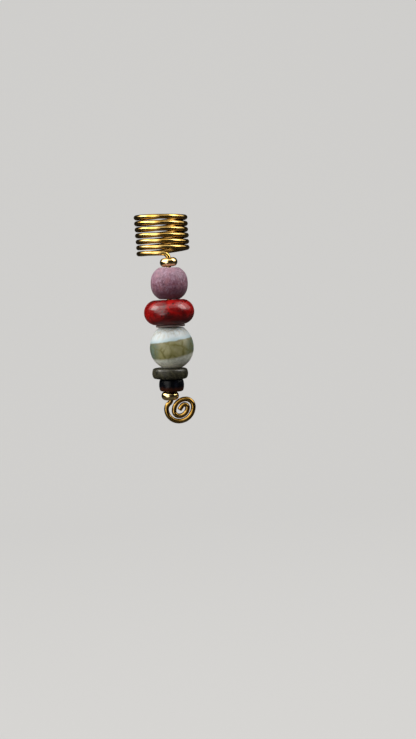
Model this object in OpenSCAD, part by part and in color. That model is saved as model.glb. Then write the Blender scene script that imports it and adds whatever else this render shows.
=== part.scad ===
// Bead for a dreadlock, in millimetres.
// A wire coil wraps the lock. At the coil's front the wire bends down, carries a stack of beads on a
// straight shank, and ends in a flat spiral. The origin is the middle of the coil's passage, +Z is the
// coil's axis, and the beads hang at the front, towards -Y.

/* [Wire] */
// Thickness of the wire
wire_d = 1.1; // [0.9:0.05:1.35]

/* [Coil] */
// Free width inside the coil, where the lock goes through
passage_d = 10.2; // [8:0.2:14]
// Whole turns of the coil, besides the half turn that starts it at the back
coil_turns = 6; // [3:1:9]
// Air between one turn of the coil and the next
coil_gap = 0.28; // [0.1:0.02:0.5]
// Bend where the wire leaves the coil, at the middle of the wire
coil_exit_r = 1.4; // [1.2:0.1:2.2]

/* [Stack of beads] */
// Lean of the stack from the coil's axis, to the left at the bottom
stack_lean = 3.6; // [0:0.2:6]
// Air between one bead and the next
bead_gap = 0.05; // [0.03:0.01:0.2]
// Air between the wire and a bead's hole, all round
hole_air = 0.25; // [0.15:0.01:0.35]
// Air between the wire and the agate bead's hole, which is drilled wider
agate_hole_air = 0.5; // [0.15:0.01:0.6]

/* [Metal spacers] */
// Width of a spacer
spacer_d = 4.05; // [3.2:0.05:5]
// Height of a spacer along the wire
spacer_t = 2; // [1.4:0.05:3]
// Width of a spacer's flat ends
spacer_flat_d = 2.3; // [2.1:0.05:2.8]

/* [Purple bead] */
// Width of the purple bead
purple_d = 8.5; // [7:0.1:11]
// Height of the purple bead
purple_t = 7.15; // [5:0.05:9]
// Width of its flat ends
purple_flat_d = 4.5; // [2.8:0.1:4.6]

/* [Red bead] */
// Width of the red bead
red_d = 11.45; // [9:0.05:14]
// Height of the red bead
red_t = 5.55; // [4:0.05:8]
// Width of its flat ends
red_flat_d = 7; // [4:0.1:8]

/* [Shell disc] */
// Width of the shell disc
shell_d = 6.8; // [5:0.1:9]
// Thickness of the shell disc
shell_t = 0.5; // [0.3:0.05:1]

/* [Agate bead] */
// Width of the agate bead
agate_d = 10; // [8:0.1:13]
// Height of the agate bead, nearly a ball, whose two ends are cut flat
agate_t = 9.2; // [7:0.1:11]
// Width of its upper flat end; the wider it is, the fuller the upper half
agate_flat_d = 5.6; // [3:0.1:6.6]
// Width of its lower flat end
agate_low_flat_d = 3.9; // [2.6:0.1:5]

/* [Grey disc] */
// Width of the grey disc
grey_d = 8.25; // [6:0.05:10]
// Thickness of the grey disc
grey_t = 2.35; // [1.4:0.05:3.5]

/* [Dark bead] */
// Width of the dark bead
dark_d = 5.75; // [4.5:0.05:8]
// Height of the dark bead
dark_t = 2.85; // [1.8:0.05:4]

/* [Edges] */
// Rounding of the soft edges on the wood, the grey disc and the dark bead
soft_edge_r = 0.5; // [0.2:0.05:0.6]
// Rounding of the crisp edges on the other beads
crisp_edge_r = 0.2; // [0.05:0.05:0.3]

/* [Spiral] */
// Air allowed for each turn of the spiral, which sets its size; the turns come closer at the bottom
spiral_gap = 0.3; // [0.24:0.02:0.6]
// Clearance between the spiral and the lower spacer
spiral_clear = 0.06; // [0.06:0.02:0.4]

/* [Hidden] */
$fn = 64;

// Swell of the wire where two bends meet, as a share of its thickness
knuckle_swell = 1.01;

// Coil: each half turn is a flat arc, tilted so that it drops by half the pitch from end to end
wire_r = wire_d / 2;
coil_pitch = wire_d + coil_gap;
half_drop = coil_pitch / 2;
coil_r = passage_d / 2 + wire_r;
arc_r = sqrt(coil_r * coil_r + half_drop * half_drop / 4);
arc_tilt = asin(half_drop / 2 / arc_r);
first_left_z = coil_turns * coil_pitch / 2;
coil_exit_z = -first_left_z - half_drop / 2;

// Where the exit bend ends, in the plane of the coil's front
shank_x = coil_exit_r * (cos(stack_lean) - sin(arc_tilt));
shank_z = coil_exit_z - coil_exit_r * (sin(stack_lean) + cos(arc_tilt));

// The stack starts inside the end of the bend, where the wire has nearly come straight
bend_stray = hole_air * 0.16;
stack_rise = sqrt(2 * coil_exit_r * bend_stray - bend_stray * bend_stray);

// Side swell of the nearly straight-sided pieces, as shares of their heights
shell_flat_d = shell_d - 0.3 * shell_t;
grey_flat_d = grey_d - 0.3 * grey_t;
dark_flat_d = dark_d - 0.2 * dark_t;

// Beads from top to bottom. sits is how far a bead hangs to the right, as a share of its hole's air,
// and tilt is how far its right side is up, as a share of the most that its hole allows. The agate
// bead's row ends with the width of its lower flat end; the others have two ends alike
D = 0;
T = 1;
FLAT = 2;
EDGE = 3;
AIR = 4;
SITS = 5;
TILT = 6;
LOW_FLAT = 7;
BEADS = [
  [spacer_d, spacer_t, spacer_flat_d, crisp_edge_r, hole_air, 0, 0.46],
  [purple_d, purple_t, purple_flat_d, soft_edge_r, hole_air, 0.2, 0],
  [red_d, red_t, red_flat_d, crisp_edge_r, hole_air, -0.3, 0.64],
  [shell_d, shell_t, shell_flat_d, crisp_edge_r, hole_air, 0.6, 0.1],
  [agate_d, agate_t, agate_flat_d, crisp_edge_r, agate_hole_air, 0.8, 0, agate_low_flat_d],
  [grey_d, grey_t, grey_flat_d, soft_edge_r, hole_air, -0.2, 0],
  [dark_d, dark_t, dark_flat_d, soft_edge_r, hole_air, 0.8, 0],
  [spacer_d, spacer_t, spacer_flat_d, crisp_edge_r, hole_air, -0.7, 0]
];
LAST = len(BEADS) - 1;
function low_flat(b) = len(b) > LOW_FLAT ? b[LOW_FLAT] : b[FLAT];
function tilt(b) = b[TILT] * atan(2 * b[AIR] * (1 - abs(b[SITS])) / b[T]);

// Where two beads are tilted differently, the smaller flat end meets the other bead at its rim
function rim_rise(a, b) = min(low_flat(a), b[FLAT]) / 2 * abs(sin(tilt(a) - tilt(b)));
function room_above(k) = bead_gap + rim_rise(BEADS[k - 1], BEADS[k]);
function bead_top(k) = k == 0 ? stack_rise : bead_top(k - 1) - BEADS[k - 1][T] - room_above(k);
stack_end = bead_top(LAST) - BEADS[LAST][T];

// Round the side of a bead: one arc through its widest point and the rims of flat ends this wide
function swell(b, flat) = (b[D] - flat) / 2;
function side_r(b, flat) = (pow(swell(b, flat), 2) + b[T] * b[T] / 4) / (2 * swell(b, flat));
function side_x(b, flat) = b[D] / 2 - side_r(b, flat);

// Spiral: arcs that run into each other, seen from the front. turn is in degrees, anticlockwise when
// positive, and bend is the arc's radius as a share of the distance from one turn to the next
TURN = 0;
BEND = 1;
SPIRAL = [
  [-54, 0.65],
  [54, 1.19],
  [90, 1.99],
  [90, 2.39],
  [90, 1.22],
  [90, 1.93],
  [90, 0.82],
  [90, 1.39],
  [90, 0.475],
  [57, 0.54]
];
TOP_ARC = 5;
spiral_pitch = wire_d + spiral_gap;
spiral_tail = 0.76 * spiral_pitch;
function bend_r(k) = SPIRAL[k][BEND] * spiral_pitch;
function heading(k) = k == 0 ? -90 : heading(k - 1) + SPIRAL[k - 1][TURN];
function to_left(a) = [-sin(a), cos(a)];
function side(k) = sign(SPIRAL[k][TURN]);
function start_of(k) =
  k == 0 ? [0, 0] : centre_of(k - 1) - side(k - 1) * bend_r(k - 1) * to_left(heading(k));
function centre_of(k) = start_of(k) + side(k) * bend_r(k) * to_left(heading(k));

// The spiral hangs just low enough for its top arc to clear the rim of the lower spacer
low = BEADS[LAST];
rim = [side_x(low, low[FLAT]) + low[SITS] * low[AIR], low[T] / 2];
reach = bend_r(TOP_ARC) + wire_r + side_r(low, low[FLAT]) + spiral_clear;
across = centre_of(TOP_ARC)[0] - rim[0];
spiral_drop = max(0, centre_of(TOP_ARC)[1] - rim[1] + sqrt(reach * reach - across * across));
shank_end = stack_end - spiral_drop;

// Half a turn of the coil, or the part of it that sweep and from give
module coil_arc(z, is_back, sweep = 180, from = 0) {
  translate([0, 0, z])
    rotate([0, is_back ? -arc_tilt : arc_tilt, 0])
      rotate([0, 0, is_back ? 0 : 180])
        rotate_extrude(angle = sweep, start = from)
          translate([arc_r, 0]) circle(d = wire_d);
}

// A piece of wire bent in the plane of the coil's front, with its middle at the plane's [x, z]
module flat_arc(centre, radius, from, sweep) {
  translate([centre[0], 0, centre[1]])
    rotate([90, 0, 0])
      rotate_extrude(angle = sweep, start = from)
        translate([radius, 0]) circle(d = wire_d);
}

// A ball that is a hair wider than the wire, where two of its bends run into each other
module knuckle() {
  sphere(d = wire_d * knuckle_swell);
}

// Puts its children on the shank: z is measured from the end of the exit bend
module on_shank() {
  translate([shank_x, -arc_r, shank_z])
    rotate([0, stack_lean, 0]) children();
}

module coil() {
  coil_arc(first_left_z + half_drop / 2, true, 90, 90);
  for (k = [0 : coil_turns - 1]) {
    coil_arc(first_left_z - k * coil_pitch - half_drop / 2, false);
    coil_arc(first_left_z - k * coil_pitch - 1.5 * half_drop, true);
  }
  coil_arc(coil_exit_z, false, 90, 0);
}

module exit_bend() {
  middle = [-coil_exit_r * sin(arc_tilt), coil_exit_z - coil_exit_r * cos(arc_tilt)];
  translate([0, -arc_r, 0])
    flat_arc(middle, coil_exit_r, -stack_lean, 90 + stack_lean - arc_tilt);
  translate([0, -arc_r, coil_exit_z]) knuckle();
}

module shank() {
  on_shank() {
    knuckle();
    translate([0, 0, shank_end]) cylinder(d = wire_d, h = -shank_end);
  }
}

module spiral() {
  last = len(SPIRAL) - 1;
  tail_from = centre_of(last) - side(last) * bend_r(last) * to_left(heading(last + 1));
  on_shank() translate([0, 0, shank_end]) {
    for (k = [0 : last]) {
      from = side(k) > 0 ? heading(k) - 90 : heading(k) + 90 + SPIRAL[k][TURN];
      flat_arc(centre_of(k), bend_r(k), from, abs(SPIRAL[k][TURN]));
    }
    translate([start_of(1)[0], 0, start_of(1)[1]]) knuckle();
    translate([tail_from[0], 0, tail_from[1]]) {
      knuckle();
      rotate([0, 90 - heading(last + 1), 0]) cylinder(d = wire_d, h = spiral_tail);
    }
  }
}

// Half section outside the hole: a swelling side, flat ends this wide and rounded rims
module even_section(b, flat) {
  half_t = b[T] / 2;
  hole_r = wire_r + b[AIR];
  edge = min(b[EDGE], 0.4 * b[T]);
  lip_x = side_x(b, flat) + sqrt(pow(side_r(b, flat) - edge, 2) - pow(half_t - edge, 2));
  touch_z = (half_t - edge) * side_r(b, flat) / (side_r(b, flat) - edge);
  intersection() {
    translate([side_x(b, flat), 0]) circle(r = side_r(b, flat));
    translate([hole_r, -touch_z]) square([b[D], 2 * touch_z]);
  }
  translate([hole_r, -half_t]) square([lip_x - hole_r, b[T]]);
  for (end = [-1, 1])
    translate([lip_x, end * (half_t - edge)]) circle(r = edge);
}

// Where the two ends differ, the upper and lower halves come from two sections of the same width
module bead_section(b) {
  if (low_flat(b) == b[FLAT]) even_section(b, b[FLAT]);
  else {
    intersection() {
      even_section(b, b[FLAT]);
      square([b[D], b[T]]);
    }
    intersection() {
      even_section(b, low_flat(b));
      translate([0, -b[T]]) square([b[D], b[T]]);
    }
  }
}

module bead(k) {
  b = BEADS[k];
  on_shank() translate([b[SITS] * b[AIR], 0, bead_top(k) - b[T] / 2])
    rotate([0, -tilt(b), 0])
      rotate_extrude() bead_section(b);
}

module wire() {
  color("goldenrod") {
    coil();
    exit_bend();
    shank();
    spiral();
  }
}

module top_spacer() {
  color("gold") bead(0);
}

module purple_bead() {
  color("rosybrown") bead(1);
}

module red_bead() {
  color("firebrick") bead(2);
}

module shell_disc() {
  color("thistle") bead(3);
}

module agate_bead() {
  color("honeydew") bead(4);
}

module grey_disc() {
  color("dimgray") bead(5);
}

module dark_bead() {
  color("midnightblue") bead(6);
}

module bottom_spacer() {
  color("gold") bead(7);
}

wire();
top_spacer();
purple_bead();
red_bead();
shell_disc();
agate_bead();
grey_disc();
dark_bead();
bottom_spacer();
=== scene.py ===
import bpy
import numpy as np
from mathutils import Matrix, Vector


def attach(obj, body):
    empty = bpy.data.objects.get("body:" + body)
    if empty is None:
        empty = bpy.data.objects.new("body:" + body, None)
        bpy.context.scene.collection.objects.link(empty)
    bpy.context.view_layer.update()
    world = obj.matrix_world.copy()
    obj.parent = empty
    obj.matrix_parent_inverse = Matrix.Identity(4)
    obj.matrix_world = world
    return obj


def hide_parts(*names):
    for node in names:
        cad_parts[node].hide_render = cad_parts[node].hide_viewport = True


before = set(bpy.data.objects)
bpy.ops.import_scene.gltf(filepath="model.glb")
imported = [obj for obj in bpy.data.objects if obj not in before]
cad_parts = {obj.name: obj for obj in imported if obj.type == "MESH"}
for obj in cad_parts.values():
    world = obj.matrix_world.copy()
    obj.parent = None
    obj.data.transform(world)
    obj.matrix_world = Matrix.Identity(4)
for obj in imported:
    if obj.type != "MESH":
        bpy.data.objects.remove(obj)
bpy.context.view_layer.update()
mm = 0.001
rng = np.random.default_rng(7)
print("solids loaded:", ", ".join(sorted(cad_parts)))


# Mesh helpers

def addObject(name, data):
    made = bpy.data.objects.new(name, data)
    bpy.context.scene.collection.objects.link(made)
    return made


def skinGrid(name, grid, joinEnds, along=None):
    # rows of points, each closed round. joinEnds ties the last row to the first, otherwise a point
    # in the middle closes each end. along gives a length per row, kept as UV: (share round, length)
    rows, cols = grid.shape[:2]
    points = grid.reshape(-1, 3)
    i, j = np.meshgrid(np.arange(rows if joinEnds else rows - 1), np.arange(cols), indexing="ij")
    i, j = i.ravel(), j.ravel()
    up = (i + 1) % rows
    cornerRow = np.stack([i, i, up, up], 1).ravel()
    cornerTurn = np.stack([j, j + 1, j + 1, j], 1).ravel()
    corners = cornerRow * cols + cornerTurn % cols
    starts = np.arange(len(i)) * 4
    if not joinEnds:
        k = np.arange(cols)
        base, following = (rows - 1) * cols, (k + 1) % cols
        first, last = np.full(cols, len(points)), np.full(cols, len(points) + 1)
        fans = [np.stack([first, following, k], 1), np.stack([last, base + k, base + following], 1)]
        turns = [np.stack([k + 0.5, k + 1, k], 1), np.stack([k + 0.5, k, k + 1], 1)]
        starts = np.concatenate([starts, len(corners) + np.arange(2 * cols) * 3])
        corners = np.concatenate([corners, np.vstack(fans).ravel()])
        cornerRow = np.concatenate([cornerRow, np.repeat([0, rows - 1], 3 * cols)])
        cornerTurn = np.concatenate([cornerTurn, np.vstack(turns).ravel()])
        points = np.vstack([points, grid[0].mean(0), grid[-1].mean(0)])
    mesh = bpy.data.meshes.new(name)
    mesh.vertices.add(len(points))
    mesh.vertices.foreach_set("co", (points * mm).astype(np.float32).ravel())
    mesh.loops.add(len(corners))
    mesh.loops.foreach_set("vertex_index", corners.astype(np.int32))
    mesh.polygons.add(len(starts))
    mesh.polygons.foreach_set("loop_start", starts.astype(np.int32))
    mesh.update(calc_edges=True)
    mesh.polygons.foreach_set("use_smooth", np.ones(len(starts), bool))
    if along is not None:
        uv = np.stack([cornerTurn / cols, along[cornerRow]], 1)
        layer = mesh.uv_layers.new(name="alongWire")
        layer.data.foreach_set("uv", uv.astype(np.float32).ravel())
    mesh.validate()
    return addObject(name, mesh)


# Node helpers. In the looks a noise is (scale per mm, detail, roughness, distortion), with three
# scales where it is drawn out; a fade is (start, end, value at the start, value at the end), from 0
# to 1 where no values are given; a relief is (depth, strength)

def tone(red, green, blue):
    # a screen colour, 0 to 255 a channel, as linear light
    share = np.array([red, green, blue]) / 255
    light = np.where(share <= 0.04045, share / 12.92, ((share + 0.055) / 1.055) ** 2.4)
    return (*light.tolist(), 1.0)


def newFinish(name):
    material = bpy.data.materials.new(name)
    material.use_nodes = True
    return material, material.node_tree, material.node_tree.nodes["Principled BSDF"]


def feed(tree, node, inputs):
    # inputs maps a socket's name or place to a value, or to the socket that feeds it
    for key, value in inputs.items():
        if isinstance(value, bpy.types.NodeSocket):
            tree.links.new(value, node.inputs[key])
        else:
            node.inputs[key].default_value = value


def addNode(tree, kind, inputs, **settings):
    made = tree.nodes.new("ShaderNode" + kind)
    for key, value in settings.items():
        setattr(made, key, value)
    feed(tree, made, inputs)
    return made


def calc(tree, kind, first, second=0.0):
    return addNode(tree, "Math", {0: first, 1: second}, operation=kind).outputs[0]


def times(tree, first, second):
    return calc(tree, "MULTIPLY", first, second)


def plus(tree, first, second):
    return calc(tree, "ADD", first, second)


def split(tree, vector):
    return addNode(tree, "SeparateXYZ", {0: vector}).outputs


def fade(tree, value, start, end, low=0.0, high=1.0):
    # runs smoothly from low at start to high at end
    return addNode(tree, "MapRange", {"Value": value, "From Min": start, "From Max": end,
                   "To Min": low, "To Max": high}, interpolation_type="SMOOTHSTEP").outputs[0]


def blended(tree, share, first, second):
    return addNode(tree, "Mix", {0: share, 6: first, 7: second}, data_type="RGBA").outputs[2]


def stretched(tree, where, x, y, z):
    return addNode(tree, "VectorMath", {0: where, 1: (x, y, z)}, operation="MULTIPLY").outputs[0]


def moved(tree, where, step):
    return addNode(tree, "VectorMath", {0: where, 1: step}, operation="ADD").outputs[0]


def noise(tree, where, scale, detail=4.0, rough=0.55, swirl=0.0):
    if isinstance(scale, tuple):
        where, scale = stretched(tree, where, *scale), 1.0
    return addNode(tree, "TexNoise", {"Vector": where, "Scale": scale, "Detail": detail,
                   "Roughness": rough, "Distortion": swirl}).outputs["Fac"]


def drift(tree, where, scale, detail, reach):
    # a slow wander, up to reach in each direction
    wander = addNode(tree, "TexNoise", {"Vector": where, "Scale": scale, "Detail": detail})
    return stretched(tree, wander.outputs["Color"], reach, reach, reach)


def cells(tree, where, perMm, feature="F1"):
    return addNode(tree, "TexVoronoi", {"Vector": where, "Scale": perMm}, feature=feature).outputs


def shades(tree, value, look, stops):
    # a ramp through the look's own colours: each stop is a place and the name of a colour
    ramp = addNode(tree, "ValToRGB", {0: value})
    band = ramp.color_ramp
    while len(band.elements) < len(look[stops]):
        band.elements.new(1.0)
    for element, (place, colour) in zip(band.elements, look[stops]):
        element.position = place
        element.color = look[colour]
    return ramp.outputs[0]


def relief(tree, height, depth, strength, under=None):
    # under is a relief that this one lies on
    inputs = {"Height": height, "Distance": depth * mm, "Strength": strength}
    if under is not None:
        inputs["Normal"] = under
    return addNode(tree, "Bump", inputs).outputs[0]


def beadPlace(tree, node):
    # millimetres from the bead's middle, z along its hole and -y towards the front
    coords = addNode(tree, "TexCoord", {}).outputs["Object"]
    turned = {"Vector": coords, "Location": (beadCentres[node] * mm).tolist(),
              "Rotation": (0, beadTurns[node], 0), "Scale": (mm, mm, mm)}
    return addNode(tree, "Mapping", turned, vector_type="TEXTURE").outputs[0]


# The wire: coil, exit bend, shank and spiral in one piece

wireSizes = {
    "thickness": 1.1,
    "passage": 10.2,
    "turns": 6,
    "turnGap": 0.28,
    "exitBend": 1.4,
    "strayInHole": 0.16,  # how far the bend strays in the top spacer's hole, as a share of its air
    "lean": 3.6,
    "spiralGap": 0.3,
    "spiralClear": 0.06,  # air between the spiral and the bottom spacer
    # each arc's turn, and its radius as a share of the distance from turn to turn
    "spiralBends": [(-54, 0.65), (54, 1.19), (90, 1.99), (90, 2.39), (90, 1.22), (90, 1.93),
                    (90, 0.82), (90, 1.39), (90, 0.475), (57, 0.54)],
    "topBend": 5,         # place in that list of the arc that comes closest to the bottom spacer
    "spiralTail": 0.76,
    "ringStep": 0.24,
    "bendRings": 14,
    "moreRings": 4,       # rings that each arc of the spiral gets beyond those of ringStep
    "tailRings": 4,
    "sides": 28,
    "cutChamfer": 0.12,
    "cutClear": 1.2,      # no other ring this near to a cut end, as a share of the chamfer
    "cutRound": 0.3,      # how far the second ring is drawn in, as a share of the chamfer
    "ovalCoil": 0.045,
    "ovalWaves": ((2, 5), (0.6, 2.1), (1.0, 0.5)),  # waves in a turn, their starts and strengths
    "unevenTurns": 0.02,
    "strayRates": (0.37, 1.31),
    "liftRates": (0.71, 1.63),
    "spiralWave": 0.05,
    "spiralRate": 0.45,
    "calmLength": 3,      # even wire beside the exit bend and below the bottom spacer
    "coilEase": 6,        # lengths over which the unevenness sets in
    "spiralEase": 8,
}

# Beads from the top: width, height, width of the flat ends, rounding of the rim, air round the
# wire, how far the bead sits to the right as a share of that air, and how far its right side is
# tilted up as a share of the most that its hole allows. lowFlat is the lower flat end if it differs
beadGap = 0.05
beadSizes = {
    "top_spacer": dict(wide=4.05, tall=2.0, flat=2.3, edge=0.2, air=0.25, sits=0.0, tilt=0.46),
    "purple_bead": dict(wide=8.5, tall=7.15, flat=4.5, edge=0.5, air=0.25, sits=0.2, tilt=0.0),
    "red_bead": dict(wide=11.45, tall=5.55, flat=7.0, edge=0.2, air=0.25, sits=-0.3, tilt=0.64),
    "shell_disc": dict(wide=6.8, tall=0.5, flat=6.65, edge=0.2, air=0.25, sits=0.6, tilt=0.1),
    "agate_bead": dict(wide=10.0, tall=9.2, flat=5.6, lowFlat=3.9, edge=0.2, air=0.5, sits=0.8,
                       tilt=0.0),
    "grey_disc": dict(wide=8.25, tall=2.35, flat=7.545, edge=0.5, air=0.25, sits=-0.2, tilt=0.0),
    "dark_bead": dict(wide=5.75, tall=2.85, flat=5.18, edge=0.5, air=0.25, sits=0.8, tilt=0.0),
    "bottom_spacer": dict(wide=4.05, tall=2.0, flat=2.3, edge=0.2, air=0.25, sits=-0.7, tilt=0.0),
}

wireRadius = wireSizes["thickness"] / 2
turnPitch = wireSizes["thickness"] + wireSizes["turnGap"]
halfDrop = turnPitch / 2
arcRadius = np.hypot(wireSizes["passage"] / 2 + wireRadius, halfDrop / 2)
arcTilt = np.arcsin(halfDrop / 2 / arcRadius)
firstLeft = wireSizes["turns"] * turnPitch / 2
exitHeight = -firstLeft - halfDrop / 2
lean = np.radians(wireSizes["lean"])
stackRight = np.array([np.cos(lean), 0, -np.sin(lean)])
stackUp = np.array([np.sin(lean), 0, np.cos(lean)])
bendRadius = wireSizes["exitBend"]
shankStart = np.array([bendRadius * (np.cos(lean) - np.sin(arcTilt)), -arcRadius,
                       exitHeight - bendRadius * (np.sin(lean) + np.cos(arcTilt))])

bendStray = wireSizes["strayInHole"] * beadSizes["top_spacer"]["air"]
stackRise = np.sqrt(2 * bendRadius * bendStray - bendStray ** 2)
beadCentres, beadTurns = {}, {}
below, lastFlat, lastTilt = stackRise + beadGap, 0.0, 0.0
for beadName, size in beadSizes.items():
    # the smaller of two flat ends that aren't parallel meets the other bead at its rim
    tilt = size["tilt"] * np.arctan(2 * size["air"] * (1 - abs(size["sits"])) / size["tall"])
    below -= beadGap + min(lastFlat, size["flat"]) / 2 * abs(np.sin(lastTilt - tilt))
    beadCentres[beadName] = (shankStart + (below - size["tall"] / 2) * stackUp
                             + size["sits"] * size["air"] * stackRight)
    beadTurns[beadName] = lean - tilt
    below, lastFlat, lastTilt = below - size["tall"], size.get("lowFlat", size["flat"]), tilt
stackEnd = below


def sideArc(wide, tall, flat):
    # the circle through the widest point and the rims of the flat ends: its radius and middle
    swell = (wide - flat) / 2
    radius = (swell ** 2 + tall ** 2 / 4) / (2 * swell)
    return radius, wide / 2 - radius


def coilPath(angle):
    # angle runs on round the coil, anticlockwise from above. Each half turn lies in its own plane,
    # tilted so that the height follows half the pitch times half of one plus the cosine
    halves = (angle - 180) / 180
    done = np.floor(halves)
    middle = firstLeft - halfDrop * (done + 0.5)
    outward = np.stack([np.cos(arcTilt) * np.cos(np.radians(angle)), np.sin(np.radians(angle)),
                        np.sin(arcTilt) * np.cos(np.pi * (halves - done))], 1)
    points = arcRadius * outward
    points[:, 2] += middle
    return points, outward


def spiralPath():
    # arcs in the shank's plane that run into each other: each turns the heading by its angle on a
    # circle whose radius is a share of the distance from turn to turn. A straight tail ends them.
    # Also gives how far below the bottom spacer the spiral starts
    pitch = wireSizes["thickness"] + wireSizes["spiralGap"]
    heading, here, pieces = -90.0, np.zeros(2), [np.zeros((1, 2))]
    for k, (turn, share) in enumerate(wireSizes["spiralBends"]):
        side, radius = np.sign(turn), share * pitch
        left = np.array([-np.sin(np.radians(heading)), np.cos(np.radians(heading))])
        middle = here + side * radius * left
        count = int(np.ceil(np.radians(abs(turn)) * radius / wireSizes["ringStep"]))
        count += wireSizes["moreRings"]
        angles = np.radians(heading - 90 * side + np.linspace(0, turn, count))
        arc = middle + radius * np.stack([np.cos(angles), np.sin(angles)], 1)
        pieces.append(arc[1:])
        here, heading = arc[-1], heading + turn
        if k == wireSizes["topBend"]:
            topMiddle, topRadius = middle, radius
    ahead = np.array([np.cos(np.radians(heading)), np.sin(np.radians(heading))])
    tail = np.linspace(0, wireSizes["spiralTail"] * pitch, wireSizes["tailRings"])
    pieces.append(here + tail[1:, None] * ahead)
    spacer = beadSizes["bottom_spacer"]
    rimRadius, rimX = sideArc(spacer["wide"], spacer["tall"], spacer["flat"])
    reach = topRadius + wireRadius + rimRadius + wireSizes["spiralClear"]
    across = topMiddle[0] - (rimX + spacer["sits"] * spacer["air"])
    drop = max(0.0, topMiddle[1] - spacer["tall"] / 2 + np.sqrt(reach ** 2 - across ** 2))
    return np.vstack(pieces), drop


def wirePath():
    # the parts of the wire in turn, each with the direction that faces away from the passage
    step = wireSizes["ringStep"]
    endAngle = 270 + 360 * wireSizes["turns"]
    count = int(np.radians(endAngle - 90) * arcRadius / step)
    coil, coilOut = coilPath(np.linspace(90, endAngle, count))
    turn = np.linspace(np.pi / 2 - arcTilt, -lean, wireSizes["bendRings"])[1:]
    bendMiddle = np.array([-bendRadius * np.sin(arcTilt), -arcRadius,
                           exitHeight - bendRadius * np.cos(arcTilt)])
    bend = bendMiddle + bendRadius * np.stack([np.cos(turn), 0 * turn, np.sin(turn)], 1)
    flatSpiral, drop = spiralPath()
    shankLength = drop - stackEnd
    down = np.linspace(0, shankLength, int(shankLength / step / 2))[1:]
    shank = shankStart - down[:, None] * stackUp
    foot = shankStart - shankLength * stackUp
    spiral = foot + flatSpiral[1:, :1] * stackRight + flatSpiral[1:, 1:] * stackUp
    points = np.vstack([coil, bend, shank, spiral])
    facing = np.tile([0.0, -1.0, 0.0], (len(points), 1))
    facing[:len(coil)] = coilOut
    return points, facing, len(coil), len(coil) + len(bend) + len(shank)


def slowWaves(place, rates, phases, strengths=1.0):
    # the sum of strength * cos(rate * place + phase)
    return (strengths * np.cos(np.outer(place, rates) + phases)).sum(1)


def makeWire():
    # point + thickness / 2 * (cos q * outward + sin q * across), with q once round and across at
    # right angles to the path. Slow cosines make the coil a little oval and uneven and the spiral
    # not quite flat, as in wire that is wound by hand
    points, facing, coilEnd, spiralStart = wirePath()
    steps = np.linalg.norm(np.diff(points, axis=0), axis=1)
    length = np.concatenate([[0.0], np.cumsum(steps)])
    travel = np.gradient(points, length, axis=0)
    travel /= np.linalg.norm(travel, axis=1)[:, None]
    across = np.cross(travel, facing)
    phases = rng.uniform(0, 2 * np.pi, 6)
    turned, beyond = length / arcRadius, length - length[spiralStart]
    calm, uneven = wireSizes["calmLength"], wireSizes["unevenTurns"]
    inCoil = np.clip((length[coilEnd] - calm - length) / wireSizes["coilEase"], 0, 1)
    inSpiral = np.clip((beyond - calm) / wireSizes["spiralEase"], 0, 1)
    outward = wireSizes["ovalCoil"] * slowWaves(turned, *wireSizes["ovalWaves"])
    outward += uneven * slowWaves(turned, wireSizes["strayRates"], phases[:2])
    lift = uneven * slowWaves(turned, wireSizes["liftRates"], phases[2:4])
    wave = wireSizes["spiralWave"] * slowWaves(beyond, [wireSizes["spiralRate"]], phases[4:5])
    points = points + (inCoil * outward + inSpiral * wave)[:, None] * facing
    points = points + (inCoil * lift)[:, None] * across

    # both cut ends get a small chamfer: three rings close together, the outer ones drawn in
    chamfer, last = wireSizes["cutChamfer"], len(points) - 1
    fromEnd = np.minimum(length, length[-1] - length)
    inner = np.flatnonzero(fromEnd > wireSizes["cutClear"] * chamfer)
    source = np.concatenate([[0, 0, 0], inner, [last, last, last]])
    shift, drawnIn = np.zeros((2, len(source)))
    shift[1:3], shift[-3:-1] = [chamfer / 2, chamfer], [-chamfer, -chamfer / 2]
    drawnIn[[0, -1]], drawnIn[[1, -2]] = chamfer, wireSizes["cutRound"] * chamfer
    rows = points[source] + shift[:, None] * travel[source]
    length = length[source] + shift
    q = np.linspace(0, 2 * np.pi, wireSizes["sides"], endpoint=False)[:, None]
    ring = np.cos(q) * facing[source][:, None] + np.sin(q) * across[source][:, None]
    grid = rows[:, None] + (wireRadius - drawnIn)[:, None, None] * ring
    return skinGrid("goldWire", grid, False, length), length[-1]


wirePiece, wireLength = makeWire()
print("wire made:", round(wireLength), "mm long")


# The beads: a closed section carried round the hole

beadShapes = {
    "steps": 168,
    "sidePoints": 30,
    "rimPoints": 12,
    "flatPoints": 14,
    "mouthPoints": 7,
    "borePoints": 8,
    "mouth": 0.14,      # rounding where the hole opens
    "mostEdge": 0.4,    # the rim's and the mouth's rounding at most, as shares of the height
    "mostMouth": 0.3,
    "calmRim": 0.3,     # the ends are even this far out from the hole
    "waveTwist": 1.4,
}


def arcPart(middleR, middleZ, radius, start, end, count):
    # middle + radius * (cos, sin) of an angle that runs from start to end
    angle = np.radians(np.linspace(start, end, count))
    return np.stack([middleR + radius * np.cos(angle), middleZ + radius * np.sin(angle)], 1)


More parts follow.
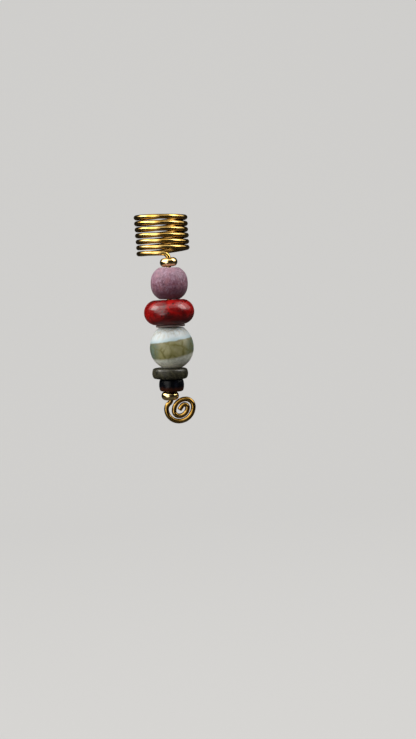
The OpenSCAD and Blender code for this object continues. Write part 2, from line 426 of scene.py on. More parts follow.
def halfSection(size, flat):
    # from the widest point up and in to the hole: side, rounded rim, flat end, rounded mouth
    half, hole = size["tall"] / 2, wireRadius + size["air"]
    radius, middle = sideArc(size["wide"], size["tall"], flat)
    edge = min(size["edge"], beadShapes["mostEdge"] * size["tall"])
    mouth = min(beadShapes["mouth"], beadShapes["mostMouth"] * size["tall"])
    lip = middle + np.sqrt((radius - edge) ** 2 - (half - edge) ** 2)
    touch = np.degrees(np.arcsin((half - edge) / (radius - edge)))
    side = arcPart(middle, 0, radius, 0, touch, beadShapes["sidePoints"])
    rim = arcPart(lip, half - edge, edge, touch, 90, beadShapes["rimPoints"])
    flatR = np.linspace(lip, hole + mouth, beadShapes["flatPoints"])[1:-1]
    end = np.stack([flatR, np.full(len(flatR), half)], 1)
    opening = arcPart(hole + mouth, half - mouth, mouth, 90, 180, beadShapes["mouthPoints"])
    return np.vstack([side, rim[1:], end, opening])


def beadSection(size):
    # half section outside the hole, anticlockwise: the upper half, the bore and the lower half
    upper = halfSection(size, size["flat"])
    lower = halfSection(size, size.get("lowFlat", size["flat"]))[::-1] * [1, -1]
    bore = np.linspace(upper[-1], lower[0], beadShapes["borePoints"])[1:-1]
    return np.vstack([upper, bore, lower[:-1]])


def makeBead(node, name, wave, waves, dents=(), fuller=0.0):
    # middle + r * (cos a * right + sin a * back) + z * up, with a once round. The side strays by a
    # few slow cosines, its shoulders are fuller by sin(pi * (2z / height)^2), and each dent is a
    # hollow that fades with the square of the distance from its place
    size = beadSizes[node]
    section = beadSection(size)
    angle = np.linspace(0, 2 * np.pi, beadShapes["steps"], endpoint=False)
    radius, height = section.T[:, :, None] + 0 * angle
    evenTo = wireRadius + size["air"] + beadShapes["calmRim"]
    outer = np.clip((radius - evenTo) / (size["wide"] / 2 - evenTo), 0, 1)
    phases = rng.uniform(0, 2 * np.pi, (len(waves), 2))
    for count, (turn, tilt) in zip(waves, phases):
        twist = beadShapes["waveTwist"] * height / size["tall"] * np.cos(tilt)
        radius = radius - wave * outer * (0.5 + 0.5 * np.cos(count * angle + turn + twist))
    radius += fuller * outer * np.sin(np.pi * np.clip(2 * height / size["tall"], -1, 1) ** 2)
    local = np.stack([radius * np.cos(angle), radius * np.sin(angle), height], -1)
    for place, depth, reach in dents:
        away = np.linalg.norm((local - np.array(place)) / reach, axis=-1, keepdims=True)
        outward = local / np.linalg.norm(local, axis=-1, keepdims=True)
        local = local - depth * np.exp(-away ** 2) * outward
    cosine, sine = np.cos(beadTurns[node]), np.sin(beadTurns[node])
    axes = np.array([[cosine, 0, -sine], [0, 1.0, 0], [sine, 0, cosine]])
    return skinGrid(name, beadCentres[node] + local @ axes, True)


# For each bead how far its side strays, how many waves of that go round, and how much fuller its
# shoulders are. A dent is (place from the bead's middle, depth, reach)
beadForms = {
    "top_spacer": dict(name="topSpacer", wave=0.02, waves=(3, 4, 7)),
    "purple_bead": dict(name="purpleBead", wave=0.035, waves=(2, 3, 7), fuller=0.15, dents=[
        ((0.15, -2.35, 3.5), 0.3, 0.35), ((-3.9, -1.2, 1.1), 0.05, 0.4),
        ((2.4, 3.3, -1.6), 0.08, 0.5), ((1.9, -3.4, -1.9), 0.04, 0.3)]),
    "red_bead": dict(name="redBead", wave=0.03, waves=(2, 3, 4)),
    "shell_disc": dict(name="shellDisc", wave=0.05, waves=(2, 5, 9), dents=[
        ((3.3, -0.4, 0.1), 0.12, 0.35), ((-2.6, 2.1, 0.0), 0.15, 0.4)]),
    "agate_bead": dict(name="agateBead", wave=0.02, waves=(2, 3, 4)),
    "grey_disc": dict(name="greyDisc", wave=0.05, waves=(2, 5, 8), dents=[
        ((-3.6, -1.6, 1.2), 0.12, 0.5), ((2.9, -2.7, -1.2), 0.14, 0.45),
        ((0.4, 4.0, 1.1), 0.16, 0.6), ((-2.2, -3.3, -1.2), 0.1, 0.4),
        ((3.9, 0.9, 1.1), 0.1, 0.5)]),
    "dark_bead": dict(name="darkBead", wave=0.03, waves=(2, 3, 5)),
    "bottom_spacer": dict(name="bottomSpacer", wave=0.02, waves=(3, 5, 6)),
}
beadPieces = {node: makeBead(node, **form) for node, form in beadForms.items()}
print("beads made:", len(beadPieces))


# Gold for the wire and the spacers

goldLook = {
    "wireBright": tone(222, 186, 110),
    "wireDeep": tone(198, 152, 66),
    "spacerBright": tone(248, 222, 162),
    "spacerDeep": tone(224, 182, 102),
    # painted shade under and inside the coil's turns, with some tarnish; also the darker metal by a
    # spacer's hole
    "tarnishShade": tone(88, 58, 20),
    # painted shade: the deeper gold that the spiral is blended to
    "spiral": tone(130, 96, 37),
    "wireRoughness": 0.11,
    "spacerRoughness": 0.05,
    "lineRoughness": 0.07,
    "cloudNoise": (0.55, 3.0),
    "clouded": (0.35, 0.7),
    "wireLines": ((14, 14, 0.35), 5.0, 0.65),
    "spacerLines": ((0.6, 0.6, 16), 5.0, 0.65),
    "patchNoise": (1.7, 4.0, 0.6, 0.6),
    "dullPatch": (0.4, 0.75, 0.0, 0.07),
    "lineRelief": (0.003, 0.4),
    "patchRelief": (0.006, 0.25),
    "spiralShadeFrom": (62, 50),    # before the wire's end, where the spiral's painted shade starts and is full
    "spiralShadeShare": 0.85,
    "tarnishShadeUntil": (2, 9),      # before the coil's end, where the painted shade and tarnish end and are full
    "tarnishShadeShare": 0.85,
    "tarnishShadeNoise": (0.9, 3.0),
    "tarnishShadeUneven": 0.5,
    # painted shade: the coil's inner side and the underside of each turn are browned, the inner
    # side also tarnish
    "tarnishShadeInside": (0.75, 0.05),
    "paintedShadeUnder": (0.2, 1.0, 0.0, 0.75),
    "nearHole": (1.35, 0.9),
}


def goldFinish(tree, shader, where, kind):
    # soft clouds of deeper gold, fine drawn lines along the metal and a few dull handled patches
    clouds = fade(tree, noise(tree, where, *goldLook["cloudNoise"]), *goldLook["clouded"])
    lines = noise(tree, where, *goldLook[kind + "Lines"])
    patches = noise(tree, where, *goldLook["patchNoise"])
    dull = fade(tree, patches, *goldLook["dullPatch"])
    rough = plus(tree, dull, times(tree, lines, goldLook["lineRoughness"]))
    fineRelief = relief(tree, lines, *goldLook["lineRelief"])
    feed(tree, shader, {"Metallic": 1.0,
                        "Roughness": plus(tree, rough, goldLook[kind + "Roughness"]),
                        "Normal": relief(tree, patches, *goldLook["patchRelief"], fineRelief)})
    return blended(tree, clouds, goldLook[kind + "Bright"], goldLook[kind + "Deep"])


def wireFinish():
    # the UV map gives the share round the wire and the length along it, so the lines follow it. In
    # the coil the side that faces the passage is browner, painted shade with some tarnish, and the
    # underside of each turn is browner as painted shade. The spiral is painted a deeper gold as
    # painted shade
    material, tree, shader = newFinish("goldWire")
    parts = split(tree, addNode(tree, "UVMap", {}, uv_map="alongWire").outputs[0])
    turn = times(tree, parts[0], 2 * np.pi)
    outward, sideways = calc(tree, "COSINE", turn), calc(tree, "SINE", turn)
    where = addNode(tree, "CombineXYZ", {0: times(tree, outward, wireRadius),
                    1: times(tree, sideways, wireRadius), 2: parts[1]}).outputs[0]
    colour = goldFinish(tree, shader, where, "wire")
    # painted shade: the spiral is blended to a deeper gold
    starts, full = (wireLength - length for length in goldLook["spiralShadeFrom"])
    inSpiral = fade(tree, parts[1], starts, full, 0.0, goldLook["spiralShadeShare"])
    colour = blended(tree, inSpiral, colour, goldLook["spiral"])
    coilLength = np.radians(180 + 360 * wireSizes["turns"]) * arcRadius
    # painted shade: browner underside of each turn and inner side of the coil, partly tarnish
    ends, full = (coilLength - length for length in goldLook["tarnishShadeUntil"])
    inCoil = fade(tree, parts[1], ends, full, 0.0, goldLook["tarnishShadeShare"])
    uneven = times(tree, noise(tree, where, *goldLook["tarnishShadeNoise"]), goldLook["tarnishShadeUneven"])
    insideShade = fade(tree, plus(tree, outward, uneven), *goldLook["tarnishShadeInside"])
    under = fade(tree, plus(tree, sideways, uneven), *goldLook["paintedShadeUnder"])
    tarnishShadeMask = times(tree, calc(tree, "MAXIMUM", insideShade, under), inCoil)
    feed(tree, shader, {"Base Color": blended(tree, tarnishShadeMask, colour, goldLook["tarnishShade"])})
    return material


def spacerFinish(node):
    # polished, with turning lines round the spacer and darker metal close to its hole
    material, tree, shader = newFinish(node.replace("_", "") + "Gold")
    where = beadPlace(tree, node)
    colour = goldFinish(tree, shader, where, "spacer")
    fromAxis = addNode(tree, "VectorMath", {0: stretched(tree, where, 1, 1, 0)}, operation="LENGTH")
    nearHole = fade(tree, fromAxis.outputs["Value"], *goldLook["nearHole"])
    feed(tree, shader, {"Base Color": blended(tree, nearHole, colour, goldLook["tarnishShade"])})
    return material


# Stained wood of the purple bead

purpleLook = {
    "pale": tone(156, 132, 147),
    "middle": tone(122, 76, 95),
    "deep": tone(66, 29, 44),
    "pore": tone(58, 30, 44),
    "warm": tone(134, 80, 90),
    "grainBend": (0.22, 2.0, 1.0),
    "grainNoise": ((2.2, 2.2, 1.3), 6.0, 0.75),
    "grainStops": [(0.36, "deep"), (0.50, "middle"), (0.64, "pale")],
    "broadNoise": ((0.9, 0.9, 0.6), 4.0, 0.6),
    "warmPatch": (0.47, 0.6, 0.0, 0.65),
    # painted light towards the top and painted shade towards the foot
    "paintedLightTop": (-0.5, 3.2, 0.0, 0.45),
    "paintedShadeFoot": (0.8, -2.8, 0.0, 0.7),
    "poreNoise": ((7.0, 7.0, 1.6), 3.0, 0.7),
    "inPore": (0.42, 0.30, 0.0, 0.6),
    "roughness": 0.42,
    "grainRoughness": 0.25,
    "grainRelief": (0.10, 0.5),
    "poreRelief": (0.05, 0.6),
}


def purpleFinish():
    # a little upright grain, noise drawn out along the hole, under patches of uneven stain
    look = purpleLook
    material, tree, shader = newFinish("purpleWood")
    where = beadPlace(tree, "purple_bead")
    bent = moved(tree, where, drift(tree, where, *look["grainBend"]))
    grain = noise(tree, bent, *look["grainNoise"])
    pores = noise(tree, bent, *look["poreNoise"])
    broad = noise(tree, bent, *look["broadNoise"])
    height = split(tree, where)[2]
    colour = shades(tree, grain, look, "grainStops")
    colour = blended(tree, fade(tree, broad, *look["warmPatch"]), colour, look["warm"])
    # painted light: paler towards the top; painted shade: deeper towards the foot
    colour = blended(tree, fade(tree, height, *look["paintedLightTop"]), colour, look["pale"])
    colour = blended(tree, fade(tree, height, *look["paintedShadeFoot"]), colour, look["deep"])
    colour = blended(tree, fade(tree, pores, *look["inPore"]), colour, look["pore"])
    rough = plus(tree, times(tree, grain, look["grainRoughness"]), look["roughness"])
    coarse = relief(tree, grain, *look["grainRelief"])
    feed(tree, shader, {"Base Color": colour, "Roughness": rough, "Specular IOR Level": 0.35,
                        "Sheen Weight": 0.12, "Sheen Roughness": 0.5,
                        "Normal": relief(tree, pores, *look["poreRelief"], coarse)})
    return material


# Polished red stone

redLook = {
    "bright": tone(158, 18, 15),
    "middle": tone(120, 10, 9),
    "dark": tone(64, 4, 4),
    "fleck": tone(42, 8, 8),
    "cloud": tone(168, 44, 36),
    "cloudNoise": (0.32, 5.0, 0.6, 0.8),
    "cloudStops": [(0.34, "dark"), (0.5, "middle"), (0.66, "bright")],
    # painted light on the left side
    "paintedLightLeft": (-3.4, -5.2, 0.0, 0.14),
    "veinNoise": (1.1, 6.0, 0.7, 1.4),
    "veined": (0.56, 0.72, 0.0, 0.2),
    # painted shade below, stronger towards the right
    "paintedShadeBelow": (0.2, -2.4),
    "paintedShadeRight": (-5.0, -2.0, 0.25, 0.7),
    "flecksPerMm": 0.85,
    "fleckEdge": (0.24, 0.15),
    "fleckNoise": (0.6, 2.0),
    "fleckAllowed": (0.42, 0.5),
    "specksPerMm": 6.5,
    "speckEdge": (0.2, 0.1, 0.0, 0.45),
    "fleckShare": 0.9,
    "smearNoise": ((0.5, 0.5, 1.6), 4.0, 0.6),
    "smeared": (0.4, 0.75, 0.22, 0.34),
    "wornFoot": (-0.9, -2.5, 0.0, 0.3),
    "coat": (-0.9, -2.5, 0.46, 0.0),
    "pitRelief": (-0.02, 0.3),
    "smearRelief": (0.03, 0.2),
}


def redFinish():
    # cloudy deep red, painted lighter on the left as painted light and darker below and to the
    # right as painted shade, duller below, with small dark flecks: cell centres kept only where a
    # slow noise allows them
    look = redLook
    material, tree, shader = newFinish("redStone")
    where = beadPlace(tree, "red_bead")
    parts = split(tree, where)
    clouds = noise(tree, where, *look["cloudNoise"])
    # painted light: the clouds are shifted brighter on the left
    clouds = plus(tree, clouds, fade(tree, parts[0], *look["paintedLightLeft"]))
    veins = fade(tree, noise(tree, where, *look["veinNoise"]), *look["veined"])
    # painted shade: darker below and towards the right
    redPaintedShade = times(tree, fade(tree, parts[2], *look["paintedShadeBelow"]),
                   fade(tree, parts[0], *look["paintedShadeRight"]))
    spots = fade(tree, cells(tree, where, look["flecksPerMm"])["Distance"], *look["fleckEdge"])
    allowed = fade(tree, noise(tree, where, *look["fleckNoise"]), *look["fleckAllowed"])
    specks = fade(tree, cells(tree, where, look["specksPerMm"])["Distance"], *look["speckEdge"])
    flecks = calc(tree, "MAXIMUM", times(tree, spots, allowed), specks)
    colour = blended(tree, veins, shades(tree, clouds, look, "cloudStops"), look["cloud"])
    colour = blended(tree, redPaintedShade, colour, look["dark"])
    colour = blended(tree, times(tree, flecks, look["fleckShare"]), colour, look["fleck"])
    smear = noise(tree, where, *look["smearNoise"])
    rough = plus(tree, fade(tree, smear, *look["smeared"]), fade(tree, parts[2], *look["wornFoot"]))
    pits = relief(tree, flecks, *look["pitRelief"])
    feed(tree, shader, {"Base Color": colour, "Roughness": rough, "Specular IOR Level": 0.25,
                        "Coat Weight": fade(tree, parts[2], *look["coat"]), "Coat Roughness": 0.12,
                        "Normal": relief(tree, smear, *look["smearRelief"], pits)})
    return material


# Thin shell disc

shellLook = {
    "pale": tone(152, 133, 127),
    "middle": tone(98, 79, 73),
    "dark": tone(72, 53, 45),
    "cloudNoise": (0.7, 4.0, 0.6, 0.5),
    "layerNoise": ((0.5, 0.5, 14.0), 4.0, 0.6),
    "layerStops": [(0.36, "dark"), (0.5, "middle"), (0.64, "pale")],
    "lineHeight": 0.08,
    "lineEdge": (0.09, 0.02, 0.0, 0.75),
    "roughness": (0.35, 0.7, 0.4, 0.6),
    "lightReach": (1.2, 1.0, 1.0),
    "layerRelief": (0.03, 0.5),
}


def shellFinish():
    # thin layers along the hole, with a pale one near the top edge, and slow clouds across the disc
    look = shellLook
    material, tree, shader = newFinish("paleShell")
    where = beadPlace(tree, "shell_disc")
    clouds = noise(tree, where, *look["cloudNoise"])
    layers = noise(tree, where, *look["layerNoise"])
    colour = shades(tree, times(tree, plus(tree, clouds, layers), 0.5), look, "layerStops")
    fromLine = calc(tree, "ABSOLUTE", plus(tree, split(tree, where)[2], -look["lineHeight"]))
    colour = blended(tree, fade(tree, fromLine, *look["lineEdge"]), colour, look["pale"])
    feed(tree, shader, {"Base Color": colour, "Roughness": fade(tree, clouds, *look["roughness"]),
                        "Subsurface Weight": 0.8, "Subsurface Scale": 1.0,
                        "Subsurface Radius": [reach * mm for reach in look["lightReach"]],
                        "Normal": relief(tree, layers, *look["layerRelief"])})
    return material


# Agate ball: frosty white, an olive crackled band, grey below

agateLook = {
    "frost": tone(182, 189, 190),
    "frostBlue": tone(158, 177, 183),
    "rust": tone(152, 142, 120),
    "band": tone(128, 124, 84),
    "bandPale": tone(142, 138, 108),
    # painted light: the band's paler colour towards its foot
    "bandPaintedLight": tone(150, 145, 92),
    "crack": tone(96, 91, 32),
    "brim": tone(108, 97, 64),
    "glass": tone(74, 96, 88),
    "lower": tone(214, 215, 205),
    "foot": tone(218, 211, 186),
    "mottle": tone(174, 176, 162),
    # edges of the band: height in the middle, slope to the right, and upward curve to both sides
    "bandTop": (1.72, 0.15, 0.0),
    "bandBottom": (-2.25, 0.152, 0.021),
    "waveNoise": (0.6, 3.0),
    "waveHeight": 0.5,
    "blotchNoise": (0.9, 4.0, 0.6),
    "blueEdge": (1.1, 0.0),
    "blueBlotch": (0.5, 0.7, 0.0, 0.35),
    "streakNoise": ((2.0, 2.0, 0.2), 5.0, 0.6),
    "streaked": (0.42, 0.66),
    "rustyTop": (0.1, 2.6, 0.12, 0.9),
    "cellsPerMm": 0.42,
    "cellStretch": (1.0, 1.0, 0.85),
    "cellShift": (7.3, 2.2, 5.1),
    "cellDrift": (0.8, 3.0, 0.9),
    "fineCells": 2.7,             # how many times smaller the fine cells are
    "crackEdge": (0.15, 0.0),
    "fineCrackEdge": (0.09, 0.01, 0.0, 0.2),
    "crackNoise": (0.55, 2.0),
    "crackStrength": (0.36, 0.62, 0.35, 1.0),
    "crackShare": 0.85,
    "inCell": (0.06, 0.32),
    "paleCell": (0.35, 0.7),
    # painted light: where the band turns paler towards its foot
    "bandPaintedLightDown": (0.8, -2.2, 0.0, 0.65),
    "glassShift": -0.35,
    "glassWander": 2.6,
    "glassSides": (2.3, 4.6, 0.0, 0.9),
    "brimBelow": (-0.7, -0.05),
    "brimBlotch": (0.4, 0.6, 0.2, 0.8),
    "footDown": (-2.6, -4.3),
    "grainNoise": (2.2, 5.0, 0.65, 0.4),
    "grained": (0.42, 0.6, 0.15, 0.85),
    "lowerCracks": 0.25,
    "lowEdge": (-0.35, 0.35),     # how softly the zones meet
    "topEdge": (-0.06, 0.10),
    "haloHeight": 0.16,
    "halo": (0.42, 0.0, 0.0, 0.4),
    "roughness": 0.36,
    "blotchRoughness": 0.16,
    "crackRoughness": 0.25,
    "lightReach": (4.0, 4.0, 3.6),
    "blotchRelief": (0.04, 0.3),
    "crackRelief": (-0.05, 0.5),
}


def aboveEdge(tree, height, across, base, slope, curve):
    # height - (base + slope * x + curve * x * x), with x to the right
    edge = times(tree, across, plus(tree, times(tree, across, curve), slope))
    return calc(tree, "SUBTRACT", height, plus(tree, edge, base))


def agateFinish():
    # zones by height above two tilted edges; the band's crackle is the border of bent cells, and
    # its two sides turn to greener glassy grey
    look = agateLook
    material, tree, shader = newFinish("bandedAgate")
    where = beadPlace(tree, "agate_bead")
    parts = split(tree, where)
    wavy = times(tree, plus(tree, noise(tree, where, *look["waveNoise"]), -0.5), look["waveHeight"])
    height = plus(tree, parts[2], wavy)
    overTop = aboveEdge(tree, height, parts[0], *look["bandTop"])
    overLow = aboveEdge(tree, height, parts[0], *look["bandBottom"])
    blotches = noise(tree, where, *look["blotchNoise"])

    # frost: bluer close to the band, with rusty streaks near the hole
    streaks = fade(tree, noise(tree, where, *look["streakNoise"]), *look["streaked"])
    rusty = times(tree, streaks, fade(tree, overTop, *look["rustyTop"]))
    frost = blended(tree, fade(tree, overTop, *look["blueEdge"]), look["frost"], look["frostBlue"])
    frost = blended(tree, fade(tree, blotches, *look["blueBlotch"]), frost, look["frostBlue"])
    frost = blended(tree, rusty, frost, look["rust"])

    # crackle, wide and fine
    cellPlace = moved(tree, stretched(tree, where, *look["cellStretch"]), look["cellShift"])
    cellPlace = moved(tree, cellPlace, drift(tree, where, *look["cellDrift"]))
    border = cells(tree, cellPlace, look["cellsPerMm"], "DISTANCE_TO_EDGE")["Distance"]
    fineBorder = cells(tree, cellPlace, look["cellsPerMm"] * look["fineCells"],
                       "DISTANCE_TO_EDGE")["Distance"]
    strong = fade(tree, noise(tree, where, *look["crackNoise"]), *look["crackStrength"])
    cracks = times(tree, fade(tree, border, *look["crackEdge"]), strong)
    bandCracks = calc(tree, "MAXIMUM", times(tree, cracks, look["crackShare"]),
                      fade(tree, fineBorder, *look["fineCrackEdge"]))

    # band: paler inside the cells, painted lighter towards its foot as painted light, glassy at its
    # sides, browner under its brim
    paleCell = times(tree, fade(tree, border, *look["inCell"]),
                     fade(tree, blotches, *look["paleCell"]))
    sideways = plus(tree, parts[0], look["glassShift"])
    sideways = plus(tree, sideways, times(tree, wavy, look["glassWander"]))
    glassy = fade(tree, calc(tree, "ABSOLUTE", sideways), *look["glassSides"])
    brim = times(tree, fade(tree, overTop, *look["brimBelow"]),
                 fade(tree, blotches, *look["brimBlotch"]))
    band = blended(tree, paleCell, look["band"], look["bandPale"])
    # painted light: the band is lighter towards its foot
    band = blended(tree, fade(tree, height, *look["bandPaintedLightDown"]), band, look["bandPaintedLight"])
    band = blended(tree, glassy, band, look["glass"])
    band = blended(tree, brim, band, look["brim"])
    band = blended(tree, bandCracks, band, look["crack"])

    # below: mottled, warmer at the foot
    grains = fade(tree, noise(tree, where, *look["grainNoise"]), *look["grained"])
    lower = blended(tree, fade(tree, height, *look["footDown"]), look["lower"], look["foot"])
    lower = blended(tree, grains, lower, look["mottle"])
    lower = blended(tree, times(tree, cracks, look["lowerCracks"]), lower, look["mottle"])

    fromHalo = calc(tree, "ABSOLUTE", plus(tree, overTop, -look["haloHeight"]))
    colour = blended(tree, fade(tree, overLow, *look["lowEdge"]), lower, band)
    colour = blended(tree, fade(tree, overTop, *look["topEdge"]), colour, frost)
    colour = blended(tree, fade(tree, fromHalo, *look["halo"]), colour, look["frostBlue"])
    rough = plus(tree, times(tree, blotches, look["blotchRoughness"]),
                 times(tree, cracks, look["crackRoughness"]))
    fineRelief = relief(tree, blotches, *look["blotchRelief"])
    feed(tree, shader, {"Base Color": colour, "Roughness": plus(tree, rough, look["roughness"]),
                        "Coat Weight": 0.08, "Coat Roughness": 0.25,
                        "Subsurface Weight": 1.0, "Subsurface Scale": 1.0,
                        "Subsurface Radius": [reach * mm for reach in look["lightReach"]],
                        "Normal": relief(tree, cracks, *look["crackRelief"], fineRelief)})
    return material


# Grey-olive stone disc

greyLook = {
    "dark": tone(23, 22, 16),
    "middle": tone(44, 42, 31),
    "pale": tone(74, 71, 54),
    "speck": tone(18, 18, 12),
    "grit": tone(138, 132, 110),
    "mottleNoise": (1.2, 6.0, 0.68, 0.6),
    "mottleStops": [(0.36, "dark"), (0.5, "middle"), (0.7, "pale")],
    "gritPerMm": 5.0,
    "speckEdge": (0.36, 0.2),
    "speckKind": (0.55, 0.7),      # which cells are dark specks, by a random number of each
    "speckShare": 0.8,
    "gritEdge": (0.3, 0.15),
    "gritKind": (0.25, 0.1),
    "gritShare": 0.6,
    "roughness": (0.35, 0.7, 0.46, 0.30),
    "polishedRim": (0.5, 0.9, 0.0, 0.5),
    "mottleRelief": (0.06, 0.4),
    "speckRelief": (-0.05, 0.5),
}


def greyFinish():
    # mottled ground with dark specks and pale grit; handling has polished only the upper rim
    look = greyLook
    material, tree, shader = newFinish("greyStone")
    where = beadPlace(tree, "grey_disc")
    mottle = noise(tree, where, *look["mottleNoise"])
    grit = cells(tree, where, look["gritPerMm"])
    kind = split(tree, grit["Color"])[0]
    speck = times(tree, fade(tree, grit["Distance"], *look["speckEdge"]),
                  fade(tree, kind, *look["speckKind"]))
    chip = times(tree, fade(tree, grit["Distance"], *look["gritEdge"]),
                 fade(tree, kind, *look["gritKind"]))
    colour = shades(tree, mottle, look, "mottleStops")
    colour = blended(tree, times(tree, speck, look["speckShare"]), colour, look["speck"])
    colour = blended(tree, times(tree, chip, look["gritShare"]), colour, look["grit"])
    polished = fade(tree, split(tree, where)[2], *look["polishedRim"])
    pitted = relief(tree, mottle, *look["mottleRelief"])
    feed(tree, shader, {"Base Color": colour, "Roughness": fade(tree, mottle, *look["roughness"]),
                        "Specular IOR Level": 0.15,
                        "Coat Weight": polished, "Coat Roughness": 0.2,
                        "Normal": relief(tree, speck, *look["speckRelief"], pitted)})
    return material


# Blue-black glazed bead

darkLook = {
    "glaze": tone(7, 8, 12),
    "haze": tone(18, 20, 28),
    "rust": tone(60, 28, 14),
    "edge": tone(31, 14, 8),
    "hazeNoise": ((1.0, 1.0, 0.3), 4.0, 0.6),
    "hazy": (0.48, 0.72),
    "runNoise": ((1.6, 1.6, 0.3), 4.0),
    "runLength": 1.4,
    "thinFoot": (-0.1, -1.0),
    "roughness": (0.35, 0.75, 0.2, 0.36),
    "hazeRelief": (0.05, 0.3),
}


def darkFinish():
    # dark glaze over red clay: the glaze thins in runs towards the lower edge
    look = darkLook
    material, tree, shader = newFinish("darkGlaze")
    where = beadPlace(tree, "dark_bead")
    haze = noise(tree, where, *look["hazeNoise"])
    runs = times(tree, plus(tree, noise(tree, where, *look["runNoise"]), -0.5), look["runLength"])
    thin = fade(tree, plus(tree, split(tree, where)[2], runs), *look["thinFoot"])
    glaze = blended(tree, fade(tree, haze, *look["hazy"]), look["glaze"], look["haze"])
    clay = blended(tree, haze, look["edge"], look["rust"])
    feed(tree, shader, {"Base Color": blended(tree, thin, glaze, clay),
                        "Roughness": fade(tree, haze, *look["roughness"]),
                        "Specular IOR Level": 0.1, "Coat Weight": 0.05, "Coat Roughness": 0.12,
                        "Normal": relief(tree, haze, *look["hazeRelief"])})
    return material


finishes = {
    "wire": wireFinish(),
    "top_spacer": spacerFinish("top_spacer"),
    "purple_bead": purpleFinish(),
    "red_bead": redFinish(),
    "shell_disc": shellFinish(),
    "agate_bead": agateFinish(),
    "grey_disc": greyFinish(),
    "dark_bead": darkFinish(),
    "bottom_spacer": spacerFinish("bottom_spacer"),
}
for node, piece in {"wire": wirePiece, **beadPieces}.items():
    piece.data.materials.append(finishes[node])
    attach(piece, "root")
    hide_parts(node)
    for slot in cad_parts[node].material_slots:
        slot.link = "OBJECT"
        slot.material = finishes[node]
print("finishes made:", len(finishes))


# Studio: seamless pale sheet, soft lights and the camera

studio = {
    "floorHeight": -150.0,
    "sheetWide": 1800.0,
    "sheetFront": -700.0,
    "sheetBack": 380.0,
    "sheetBend": 220.0,
    "sheetTop": 900.0,
    "bendSteps": 24,
    "floorSteps": 11,
    "sheetColour": tone(70, 69, 67),
    "sheetGlow": tone(203, 202, 200),
    "fibresPerMetre": 900.0,
    "fibreRelief": (0.05, 0.3),
    "airColour": tone(205, 204, 202),
    "airGlow": tone(38, 40, 44),
    "lightsAim": (0.0, -5.6, -19.0),
}


def makeSheet():
    # the profile is the floor, a quarter circle and the wall, drawn out sideways. The paper looks
    # pale but throws little light up, so that the undersides of the metal stay deep
    front, back, bend = studio["sheetFront"], studio["sheetBack"], studio["sheetBend"]
    floor = studio["floorHeight"]
    steps = studio["floorSteps"]
    turn = np.linspace(0, np.pi / 2, studio["bendSteps"])
    curve = np.stack([back + bend * np.sin(turn), floor + bend * (1 - np.cos(turn))], 1)
    flat = np.stack([np.linspace(front, back, steps + 1)[:-1], np.full(steps, floor)], 1)
    wall = np.array([[back + bend, studio["sheetTop"]]])
    profile = np.vstack([flat, curve, wall])
    side = studio["sheetWide"] / 2
    points = np.concatenate([np.insert(profile, 0, -side, 1), np.insert(profile, 0, side, 1)]) * mm
    n = len(profile)
    k = np.arange(n - 1)
    faces = np.stack([k, k + n, k + n + 1, k + 1], 1)
    mesh = bpy.data.meshes.new("paleSheet")
    mesh.from_pydata(points.tolist(), [], faces.tolist())
    mesh.polygons.foreach_set("use_smooth", np.ones(len(faces), bool))
    made = addObject("paleSheet", mesh)
    material, tree, shader = newFinish("palePaper")
    coords = addNode(tree, "TexCoord", {}).outputs["Object"]
    fibre = noise(tree, coords, studio["fibresPerMetre"])
    seen = addNode(tree, "LightPath", {}).outputs["Is Camera Ray"]
    feed(tree, shader, {"Base Color": studio["sheetColour"], "Roughness": 0.85,
                        "Specular IOR Level": 0.1, "Emission Color": studio["sheetGlow"],
                        "Emission Strength": seen,
                        "Normal": relief(tree, fibre, *studio["fibreRelief"])})
    mesh.materials.append(material)


makeSheet()

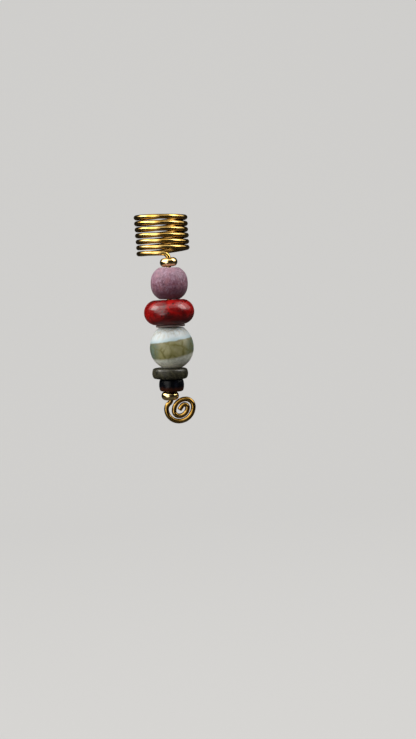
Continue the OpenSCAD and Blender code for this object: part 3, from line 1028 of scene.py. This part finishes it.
lights = {
    # name: direction from the beads, distance, width and height of the panel, power, colour
    "leftCore": ((-0.79, -0.09, 0.60), 370, (210, 190), 0.75, (1.0, 0.98, 0.95)),
    "leftWash": ((-0.62, -0.05, 0.78), 400, (480, 480), 0.78, (1.0, 0.98, 0.95)),
    "leftFront": ((-0.62, -0.57, 0.54), 400, (400, 440), 1.04, (1.0, 0.98, 0.95)),
    "rightCore": ((0.79, -0.16, 0.58), 370, (170, 240), 0.7, (1.0, 0.99, 0.97)),
    "rightWash": ((0.75, 0.15, 0.62), 400, (300, 440), 0.58, (1.0, 0.99, 0.97)),
    "topFront": ((0.14, -0.46, 0.88), 400, (760, 300), 0.82, (1.0, 0.99, 0.98)),
    "front": ((-0.50, -0.85, 0.12), 420, (420, 300), 0.34, (1.0, 1.0, 1.0)),
    "lowFront": ((-0.52, -0.81, -0.32), 400, (190, 220), 0.30, (0.96, 0.98, 1.0)),
}
for name, (towards, distance, panel, power, colour) in lights.items():
    lamp = bpy.data.lights.new(name, "AREA")
    lamp.shape = "RECTANGLE"
    lamp.size, lamp.size_y = panel[0] * mm, panel[1] * mm
    lamp.energy, lamp.color = power, colour
    holder = addObject(name, lamp)
    direction = Vector(towards).normalized()
    holder.location = (Vector(studio["lightsAim"]) + direction * distance) * mm
    holder.rotation_euler = direction.to_track_quat("Z", "Y").to_euler()

world = bpy.data.worlds.new("studioAir")
world.use_nodes = True
bpy.context.scene.world = world
air = world.node_tree
seen = addNode(air, "LightPath", {}).outputs["Is Camera Ray"]
feed(air, air.nodes["Background"],
     {"Color": blended(air, seen, studio["airGlow"], studio["airColour"])})

cameraSpot = {
    "place": (9.82, -253.47, -11.31),
    "roll": 4.41,
    "down": 4.684,
    "heightView": 37.37,
    "sensorWide": 36.0,
    "nearest": 10.0,
}
roll, down = np.radians(cameraSpot["roll"]), np.radians(cameraSpot["down"])
level = np.array([0, 1.0, 0])
right = np.array([np.cos(roll), 0, -np.sin(roll)])
standing = np.array([np.sin(roll), 0, np.cos(roll)])
ahead = level * np.cos(down) - standing * np.sin(down)
top = standing * np.cos(down) + level * np.sin(down)
cameraData = bpy.data.cameras.new("camera")
cameraData.sensor_width = cameraSpot["sensorWide"]
halfView = np.radians(cameraSpot["heightView"]) / 2
cameraData.lens = cameraSpot["sensorWide"] / 2 / np.tan(halfView)
cameraData.clip_start = cameraSpot["nearest"] * mm
camera = addObject("camera", cameraData)
turned = Matrix(np.stack([right, top, -ahead], 1).tolist()).to_4x4()
camera.matrix_world = Matrix.Translation(Vector(cameraSpot["place"]) * mm) @ turned
bpy.context.scene.camera = camera
bpy.context.scene.view_settings.view_transform = "Standard"
print("studio made:", len(lights), "lights")
